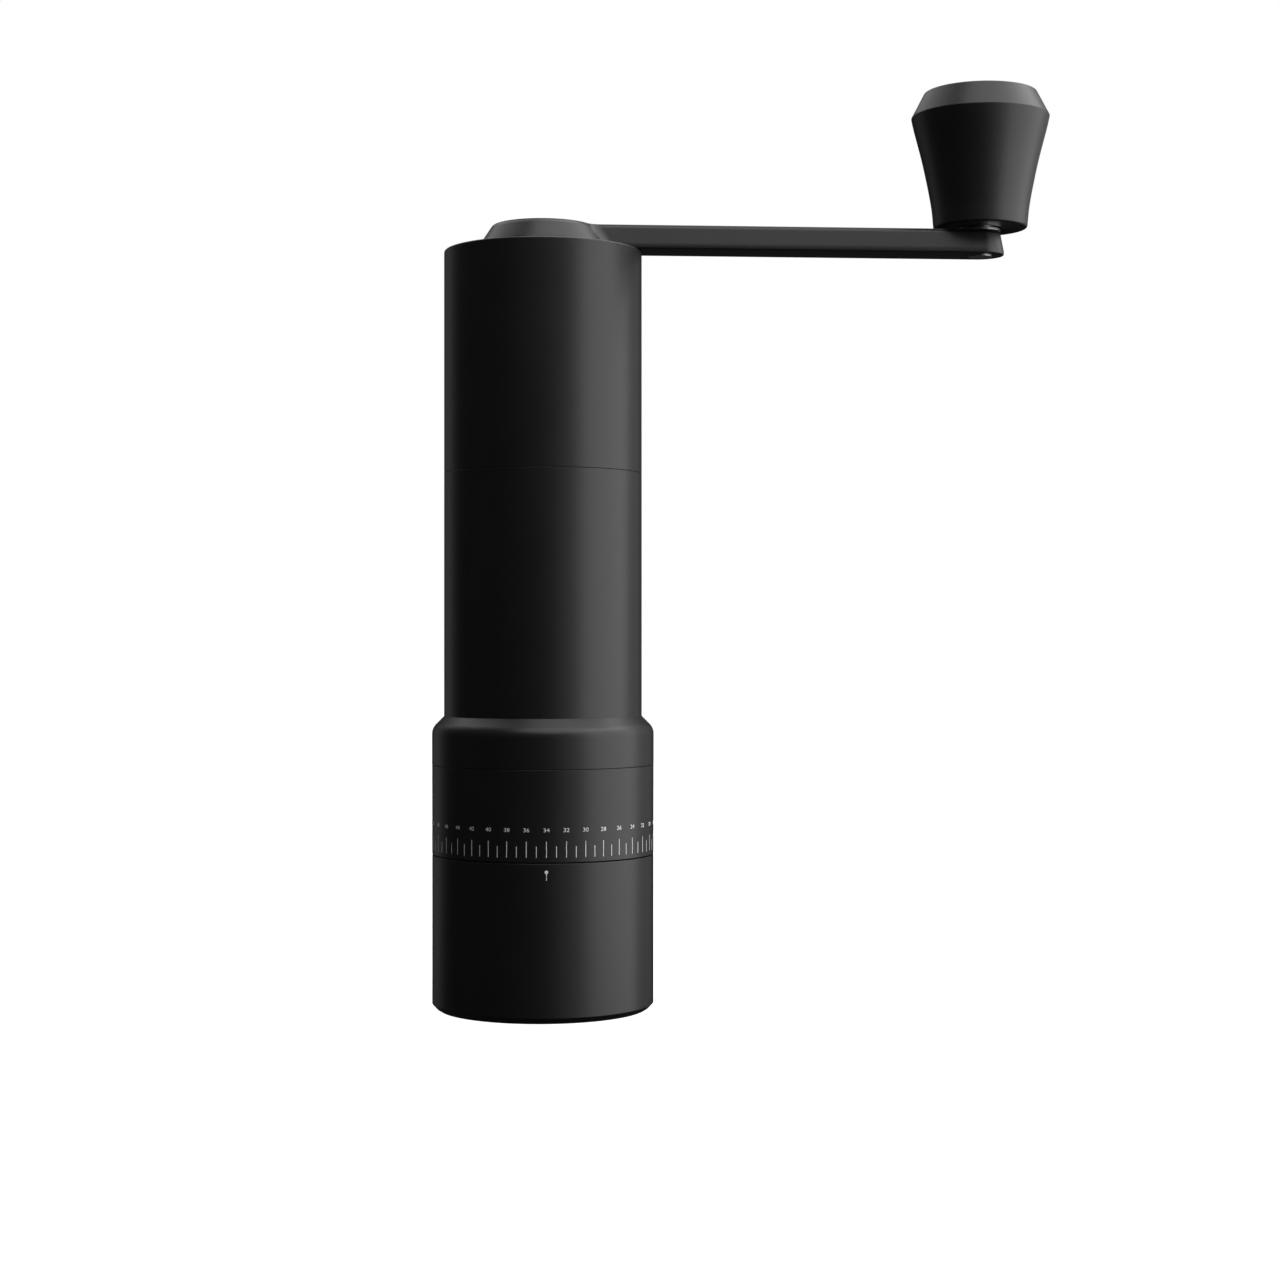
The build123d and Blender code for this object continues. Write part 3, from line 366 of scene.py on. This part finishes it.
def finish_nodes():
    """Gives each CAD node the finish that its material slot names."""
    made = finishes()
    slots = {part["node"]: part["material_slot"] for part in frame["record"]["subparts"]}
    for name, node in frame["nodes"].items():
        node.data.materials.clear()
        node.data.materials.append(made[NODE_FINISH[slots[name]]])


def settle(piece, body, slot, *nodes):
    """Hands a finished piece to its body, in place of CAD nodes; the slot argument is not used."""
    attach(piece, body)
    if nodes:
        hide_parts(*nodes)


# ---------------------------------------------------------------- settings


class GrinderSettings(bpy.types.PropertyGroup):
    """Sizes and colours that a user would change."""

    seam: bpy.props.FloatProperty(
        name="Seam rounding",
        description="Radius of the fine edges where two black parts meet",
        default=0.1 * MM,
        min=0.02 * MM,
        max=0.5 * MM,
        precision=5,
        subtype="DISTANCE",
        unit="LENGTH",
    )
    edge: bpy.props.FloatProperty(
        name="Edge rounding",
        description="Radius of the small rounded edges at rims and corners",
        default=0.25 * MM,
        min=0.02 * MM,
        max=1.0 * MM,
        precision=5,
        subtype="DISTANCE",
        unit="LENGTH",
    )
    skin: bpy.props.FloatProperty(
        name="Print height",
        description="How far the scale stands out of the dial and the index out of the cup",
        default=0.02 * MM,
        precision=5,
        subtype="DISTANCE",
        unit="LENGTH",
    )
    numeral_height: bpy.props.FloatProperty(
        name="Numeral height",
        description="Height of the numbers on the dial",
        default=1.02 * MM,
        precision=5,
        subtype="DISTANCE",
        unit="LENGTH",
    )
    reading: bpy.props.IntProperty(
        name="Reading",
        description="Number on the dial that stands over the index mark",
        default=34,
        min=0,
        max=70,
    )
    body_colour: bpy.props.FloatVectorProperty(
        name="Black",
        description="Colour of the black anodised metal",
        default=(0.0085, 0.0085, 0.0088),
        subtype="COLOR",
        size=3,
    )
    scale_colour: bpy.props.FloatVectorProperty(
        name="Scale white",
        description="Colour of the dial's lines and numbers",
        default=(0.88, 0.88, 0.88),
        subtype="COLOR",
        size=3,
    )


def settings():
    """The scene's grinder settings."""
    return getattr(bpy.context.scene, SETTINGS)


# ---------------------------------------------------------------- pieces


class GRINDER_OT_nodes(bpy.types.Operator):
    """Give every CAD node its finish"""

    bl_idname = "grinder.nodes"
    bl_label = "Finish the inner parts"

    def execute(self, context):
        finish_nodes()
        return {"FINISHED"}


class GRINDER_OT_hopper(bpy.types.Operator):
    """Make the upper tube that holds the beans"""

    bl_idname = "grinder.hopper"
    bl_label = "Upper tube"

    def execute(self, context):
        seam, edge = settings().seam, settings().edge
        low, top = foot_of("hopper_tube"), top_of("hopper_tube")
        tube = radius_of("hopper_tube")
        socket, seat, ledge, bore = 23.2 * MM, 21.0 * MM, 19.8 * MM, 22.0 * MM
        seat_foot = top - 3.1 * MM
        ledge_foot = top - 5.3 * MM
        bore_top = top - 7.5 * MM
        socket_top = low + 8.2 * MM
        corners = [
            (socket, low),
            (tube, low),
            (tube, top),
            (seat, top),
            (seat, seat_foot),
            (ledge, seat_foot),
            (ledge, ledge_foot),
            (bore, bore_top),
            (bore, socket_top),
            (socket, socket_top),
        ]
        radii = [0, 2 * seam, 1.6 * edge, edge, 0, edge, edge, edge, 0, 0]
        piece = turned("upper_tube", rounded(corners, radii), finishes()["satin_black"])
        settle(piece, "main_body", "body_black", "hopper_tube")
        return {"FINISHED"}


class GRINDER_OT_dial(bpy.types.Operator):
    """Make the dial ring with its printed lines and numbers"""

    bl_idname = "grinder.dial"
    bl_label = "Dial"

    def execute(self, context):
        looks = settings()
        made = finishes()
        seam = looks.seam
        low, top = foot_of("dial_ring"), top_of("dial_ring")
        outer = radius_of("dial_ring") - looks.skin
        step, thread, guide = 26.3 * MM, 25.2 * MM, 23.28 * MM
        groove, groove_r = 25.6 * MM, 1.3 * MM
        groove_floor = top - 0.8 * groove_r
        guide_foot = top - 7.86 * MM
        step_top = low + 1.75 * MM
        corners = [
            (step, low),
            (outer, low),
            (outer, top),
            (groove + groove_r, top),
            (groove + 0.6 * groove_r, groove_floor),
            (groove - 0.6 * groove_r, groove_floor),
            (groove - groove_r, top),
            (guide, top),
            (guide, guide_foot),
            (thread, guide_foot),
            (thread, step_top),
            (step, step_top),
        ]
        radii = [0, 1.5 * seam, seam, seam / 2, 5 * seam, 5 * seam, seam / 2, seam, 0, 0, 0, 0]
        ring = turned("dial_body", rounded(corners, radii), made["satin_black"], segments=256)
        settle(ring, "dial", "dial_black", "dial_ring")

        lines = dial_lines(outer, looks.skin, low, made["scale_white"])
        settle(lines, "dial", "dial_black")
        numbers = dial_numbers(outer, looks, low, made["scale_white"])
        settle(numbers, "dial", "dial_black")
        return {"FINISHED"}


def dial_lines(radius, height, low, material):
    """Thin blocks round the dial, long and short in turn, as one mesh.

    Block k is centred at azimuth front + k * pitch. It is a third of a degree wide, too little to
    need bending, so only its eight corners are laid on the ring: angle = azimuth + across / radius.
    """
    half = 0.085 * MM
    long_line, short_line = 3.95 * MM, 2.75 * MM
    bottom = low + 1.25 * MM
    place = np.arange(SCALE_LINES)
    azimuth = FRONT + place * LINE_PITCH
    length = np.where(place % 2 == 0, long_line, short_line)
    across = np.array([-half, half, half, -half] * 2)
    rise = np.array([0, 0, 1, 1] * 2)
    out = np.array([-PRINT_ROOT] * 4 + [height] * 4)
    angle = azimuth[:, None] + across[None, :] / radius
    distance = np.broadcast_to(radius + out, angle.shape)
    z = bottom + rise[None, :] * length[:, None]
    verts = np.stack([distance * np.cos(angle), distance * np.sin(angle), z], axis=-1)
    block = np.array(
        [[3, 2, 1, 0], [4, 5, 6, 7], [0, 1, 5, 4], [1, 2, 6, 5], [2, 3, 7, 6], [3, 0, 4, 7]]
    )
    faces = (place[:, None, None] * len(across) + block[None]).reshape(-1, 4)
    return add_mesh("dial_lines", verts.reshape(-1, 3), faces, material, smooth=False)


def flat_text(text, size, thickness):
    """A number as a thin flat mesh: its points and faces. The font curve is made a mesh before it
    is placed."""
    curve = bpy.data.curves.new("number", "FONT")
    curve.body = text
    curve.size = size
    curve.align_x = "CENTER"
    curve.extrude = thickness / 2
    curve.resolution_u = 3
    holder = bpy.data.objects.new("number", curve)
    bpy.context.scene.collection.objects.link(holder)
    bpy.context.view_layer.update()
    seen = holder.evaluated_get(bpy.context.evaluated_depsgraph_get())
    mesh = bpy.data.meshes.new_from_object(seen)
    points = np.empty(len(mesh.vertices) * 3)
    mesh.vertices.foreach_get("co", points)
    faces = [list(face.vertices) for face in mesh.polygons]
    bpy.data.objects.remove(holder)
    bpy.data.meshes.remove(mesh)
    return points.reshape(-1, 3), faces


def dial_numbers(radius, looks, low, material):
    """Even numbers round the dial, each wrapped on the ring over its long line.

    The number n stands (reading - n) line pitches to the right of the index mark.
    """
    cap_height = 0.73  # of the font's size
    widening = 1.16
    size = looks.numeral_height / cap_height
    thickness = PRINT_ROOT
    base = low + 7.48 * MM
    verts, faces, used = [], [], 0
    for number in range(0, SCALE_LINES, 2):
        points, rings = flat_text(str(number), size, thickness)
        azimuth = FRONT + LINE_PITCH * (looks.reading - number)
        across = widening * points[:, 0]
        up = base + points[:, 1]
        out = points[:, 2] - thickness / 2 + looks.skin
        verts.append(wrapped(np.stack([across, up, out], axis=1), radius, azimuth))
        faces += [[used + corner for corner in ring] for ring in rings]
        used += len(points)
    return add_mesh("dial_numbers", np.concatenate(verts), faces, material, smooth=False)


class GRINDER_OT_cup(bpy.types.Operator):
    """Make the catch cup with its index mark"""

    bl_idname = "grinder.cup"
    bl_label = "Catch cup"

    def execute(self, context):
        looks = settings()
        made = finishes()
        seam, edge = looks.seam, looks.edge
        low, top = foot_of("catch_cup"), top_of("catch_cup")
        outer = radius_of("catch_cup") - looks.skin
        recess = radius_of("base_pad")
        foot, neck, ledge, bore = 27.0 * MM, 23.5 * MM, 21.6 * MM, 25.4 * MM
        recess_top = low + 1.0 * MM
        chamfer_top = low + 1.15 * MM
        seat, ledge_foot, bore_top = 32.9 * MM, 31.6 * MM, 27.9 * MM
        chamber_floor, floor_round = 4.0 * MM, 1.5 * MM
        corners = [
            (0, recess_top),
            (recess, recess_top),
            (recess, low),
            (foot, low),
            (outer, chamfer_top),
            (outer, top),
            (neck, top),
            (neck, seat),
            (ledge, seat),
            (ledge, ledge_foot),
            (bore, bore_top),
            (bore, chamber_floor),
            (0, chamber_floor),
        ]
        radii = [0, 0, 0, seam, edge, 1.5 * seam, edge, 0, edge, edge, edge, floor_round, 0]
        path = rounded(corners, radii)
        off_axis = path[:, 0] > 1e-6
        path = np.concatenate([corners[:1], path[off_axis], corners[-1:]])
        cup = spun("cup_body", path, made["satin_black"], segments=256)
        settle(cup, "catch_cup", "body_black", "catch_cup")

        mark = index_mark(outer, looks.skin, top, made["scale_white"])
        settle(mark, "catch_cup", "body_black")
        return {"FINISHED"}


def index_mark(radius, height, top, material):
    """Pin-shaped mark: a round dot of radius r joined to a thin line below it, wrapped on the cup.

    Its outline is the dot's circle down to where the line's sides meet it, then the line.
    """
    dot = 0.44 * MM
    half = 0.09 * MM
    middle = top - 2.05 * MM
    bottom = top - 4.07 * MM
    open_half = math.asin(half / dot)
    turn = np.linspace(FRONT + open_half, FRONT + FULL_TURN - open_half, 30)
    outline = np.stack([dot * np.cos(turn), middle + dot * np.sin(turn)], axis=1)
    outline = np.concatenate([outline, [(-half, bottom), (half, bottom)]])
    count = len(outline)
    back = np.hstack([outline, np.full((count, 1), -PRINT_ROOT)])
    front = np.hstack([outline, np.full((count, 1), height)])
    verts = wrapped(np.concatenate([back, front]), radius, FRONT)
    i = np.arange(count)
    i2 = (i + 1) % count
    sides = np.stack([i, i2, i2 + count, i + count], axis=1)
    faces = sides.tolist() + [list(range(count))[::-1], list(range(count, 2 * count))]
    return add_mesh("index_mark", verts, faces, material, smooth=False)


class GRINDER_OT_knob(bpy.types.Operator):
    """Make the flared knob with its sloped crown"""

    bl_idname = "grinder.knob"
    bl_label = "Knob"

    def execute(self, context):
        edge = settings().edge
        low, top = foot_of("knob_shell"), top_of("knob_shell")
        wide = radius_of("knob_shell")
        narrow = 12.0 * MM
        waist = [(narrow, low), (12.7 * MM, low + 6.5 * MM), (14.7 * MM, low + 16.5 * MM),
                 (17.0 * MM, low + 25.5 * MM), (wide, low + 28.6 * MM)]
        face = 14.4 * MM
        bore, mouth = 4.8 * MM, 5.5 * MM
        bore_end, mouth_end = low + 29.1 * MM, low + 0.5 * MM
        flare = hermite(waist)[2:-2]
        crown = rounded(
            [flare[-1], waist[-1], (face, top), (0, top)],
            [0, 1.6 * edge, 2.2 * edge, 0],
        )[CORNER_POINTS:-CORNER_POINTS]
        foot = rounded(
            [(mouth, low), (narrow, low), flare[2], (mouth, low + 2 * MM)],
            [0, 2.4 * edge, 0, 0],
        )[CORNER_POINTS : 2 * CORNER_POINTS]
        hollow = [(0, bore_end), (bore, bore_end), (bore, mouth_end), (mouth, mouth_end), (mouth, low)]
        path = np.concatenate([hollow, foot, flare[1:], crown, [(0, top)]])
        knob = spun("knob_body", path, finishes()["knob_satin"], centre_of("knob_shell"))
        settle(knob, "knob", "knob_black", "knob_shell")
        return {"FINISHED"}


class GRINDER_OT_crank(bpy.types.Operator):
    """Make the crank arm with its boss and drafted sides"""

    bl_idname = "grinder.crank"
    bl_label = "Crank arm"

    def execute(self, context):
        low, top = foot_of("crank_arm"), top_of("crank_arm")
        throw = centre_of("knob_shell")[0]
        edge, neck = 0.3 * MM, 4 * MM
        wide, boss = 6.05 * MM, 16.4 * MM
        side_draft, boss_draft = 1.0 * MM, 3.5 * MM
        draft_foot = low + 0.8 * MM
        turn = np.linspace(0, math.pi / 2, ARC_POINTS)
        lower_inset = edge * (1 - np.sin(turn))
        lower_z = low + edge * (1 - np.cos(turn))
        draft_z = draft_foot + np.linspace(0, 1, 8) * (top - edge - draft_foot)
        part = (draft_z - draft_foot) / (top - draft_foot)
        upper_inset = edge * (1 - np.cos(turn))
        upper_z = top - edge + edge * np.sin(turn)
        half, hub = (
            np.concatenate([size - lower_inset, size - part * draft, size - draft - upper_inset])
            for size, draft in ((wide, side_draft), (boss, boss_draft))
        )
        z = np.concatenate([lower_z, draft_z, upper_z])
        outlines = [crank_outline(h, r, throw, neck) for h, r in zip(half, hub)]
        arm = stacked("crank_body", outlines, z, finishes()["crank_satin"])
        settle(arm, "crank", "crank_black", "crank_arm")
        return {"FINISHED"}


class GRINDER_OT_lid(bpy.types.Operator):
    """Make the lid disc with its hollow skirt"""

    bl_idname = "grinder.lid"
    bl_label = "Lid"

    def execute(self, context):
        edge = settings().edge
        low, top = foot_of("lid_disc"), top_of("lid_disc")
        disc = radius_of("lid_disc")
        bore, hub, hollow, skirt = 8.0 * MM, 10.5 * MM, 17.0 * MM, 19.4 * MM
        groove, inner_round = 18.5 * MM, 0.5 * MM
        hub_foot = low + 0.7 * MM
        groove_foot, groove_top = low + 3.5 * MM, low + 4.5 * MM
        hollow_top, disc_foot = top - 4 * MM, top - 3 * MM
        corners = [
            (bore, hub_foot),
            (hub, hub_foot),
            (hub, hollow_top),
            (hollow, hollow_top),
            (hollow, low),
            (skirt, low),
            (skirt, groove_foot),
            (groove, groove_foot),
            (groove, groove_top),
            (skirt, groove_top),
            (skirt, disc_foot),
            (disc, disc_foot),
            (disc, top),
            (bore, top),
        ]
        radii = [0, edge, inner_round, inner_round, edge, edge, 0, 0, 0, 0, 0, edge, 1.4 * edge, 0]
        lid = turned("lid_body", rounded(corners, radii), finishes()["satin_black"])
        settle(lid, "lid", "lid_black", "lid_disc")
        return {"FINISHED"}


# Name, place, aim, width and height in metres, and power in watts
SOFT_LIGHTS = (
    ("right_softbox", (0.57, -0.14, 0.26), (0, 0, 0.11), (0.85, 0.9), 5.2),
    ("rear_right", (0.55, 0.46, 0.25), (0, 0, 0.11), (0.4, 0.8), 0.3),
    ("front_right", (0.42, -0.72, 0.02), (0, 0, 0.06), (0.5, 0.5), 0.32),
    ("left_front", (-0.60, -0.10, 0.25), (0, 0, 0.11), (0.3, 0.8), 0.02),
    ("left_rim", (-0.50, 0.60, 0.25), (0, 0, 0.11), (0.35, 0.8), 0.18),
    ("top_fill", (0.26, -0.13, 0.85), (0.02, 0, 0.1), (1.7, 0.8), 8.8),
    ("rear_fill", (-0.20, 0.42, 0.80), (0, 0, 0.11), (0.9, 0.7), 2.4),
)


class GRINDER_OT_stage(bpy.types.Operator):
    """Set the pale floor, the soft lights and the camera"""

    bl_idname = "grinder.stage"
    bl_label = "Studio"

    def execute(self, context):
        floor = studio_floor()
        context.scene.view_settings.view_transform = "Standard"
        studio_world()
        for lamp in SOFT_LIGHTS:
            studio_light(*lamp)
        studio_camera()
        return {"FINISHED"}


def studio_floor():
    """Wide square floor, a hair under the object, that glossy and diffuse rays pass by."""
    reach, gap = 6.0, 0.05 * MM
    corners = np.array([(-1, -1, 0), (1, -1, 0), (1, 1, 0), (-1, 1, 0)]) * reach - [0, 0, gap]
    pale = new_finish("pale_floor", (0.86,) * 3, (0.88,) * 3, (0.8, 0.9), 0.0, 400, 1e-6)
    floor = add_mesh("floor", corners, [[0, 1, 2, 3]], pale, smooth=False)
    shader = pale.node_tree.nodes["Principled BSDF"]
    shader.inputs["Emission Color"].default_value = (1, 1, 1, 1)
    shader.inputs["Emission Strength"].default_value = 1.0
    floor.visible_glossy = False
    floor.visible_diffuse = False
    return floor


def studio_world():
    """White backdrop behind the object, and a dim room for everything else."""
    world = bpy.data.worlds.new("studio")
    world.use_nodes = True
    tree = world.node_tree
    backdrop = tree.nodes["Background"]
    backdrop.inputs["Color"].default_value = (1, 1, 1, 1)
    backdrop.inputs["Strength"].default_value = 1.0
    room = tree.nodes.new("ShaderNodeBackground")
    room.inputs["Color"].default_value = (1, 1, 1, 1)
    room.inputs["Strength"].default_value = 0.025
    seen = tree.nodes.new("ShaderNodeLightPath")
    mix = tree.nodes.new("ShaderNodeMixShader")
    tree.links.new(seen.outputs["Is Camera Ray"], mix.inputs["Fac"])
    tree.links.new(room.outputs["Background"], mix.inputs[1])
    tree.links.new(backdrop.outputs["Background"], mix.inputs[2])
    tree.links.new(mix.outputs["Shader"], tree.nodes["World Output"].inputs["Surface"])
    bpy.context.scene.world = world


def studio_light(name, place, aim, size, power):
    """Rectangular soft light at a place, turned to face its aim."""
    lamp = bpy.data.lights.new(name, "AREA")
    lamp.shape = "RECTANGLE"
    lamp.size, lamp.size_y = size
    lamp.energy = power
    holder = bpy.data.objects.new(name, lamp)
    bpy.context.scene.collection.objects.link(holder)
    holder.location = place
    holder.visible_camera = False
    direction = np.array(aim) - np.array(place)
    flat = math.hypot(direction[0], direction[1])
    holder.rotation_euler = (
        math.atan2(flat, -direction[2]),
        0,
        math.atan2(direction[1], direction[0]) - math.pi / 2,
    )


def studio_camera():
    """Level camera 93.5 mm above the table, turned 4.05 degrees to the right of straight ahead."""
    lens = bpy.data.cameras.new("studio_camera")
    lens.lens = 65.49
    lens.sensor_width = 36
    lens.clip_start = 0.01
    lens.clip_end = 50
    camera = bpy.data.objects.new("studio_camera", lens)
    bpy.context.scene.collection.objects.link(camera)
    camera.location = (-17.26 * MM, -592.9 * MM, 93.46 * MM)
    camera.rotation_euler = (math.pi / 2, 0, math.radians(-4.051))
    bpy.context.scene.camera = camera


STEPS = (
    GRINDER_OT_nodes,
    GRINDER_OT_hopper,
    GRINDER_OT_dial,
    GRINDER_OT_cup,
    GRINDER_OT_knob,
    GRINDER_OT_crank,
    GRINDER_OT_lid,
    GRINDER_OT_stage,
)


class GRINDER_PT_panel(bpy.types.Panel):
    """Sidebar panel with the sizes, colours and building steps"""

    bl_idname = "GRINDER_PT_panel"
    bl_label = "Coffee grinder"
    bl_space_type = "VIEW_3D"
    bl_region_type = "UI"
    bl_category = "Grinder"

    def draw(self, context):
        looks = settings()
        for name in looks.__annotations__:
            self.layout.prop(looks, name)
        for step in STEPS:
            self.layout.operator(step.bl_idname)


CLASSES = (GrinderSettings, *STEPS, GRINDER_PT_panel)


def register():
    for cls in CLASSES:
        bpy.utils.register_class(cls)
    setattr(bpy.types.Scene, SETTINGS, bpy.props.PointerProperty(type=GrinderSettings))


def unregister():
    delattr(bpy.types.Scene, SETTINGS)
    for cls in reversed(CLASSES):
        bpy.utils.unregister_class(cls)


def main():
    register()
    for step in STEPS:
        group, action = step.bl_idname.split(".")
        getattr(getattr(bpy.ops, group), action)()


if __name__ == "__main__":
    main()
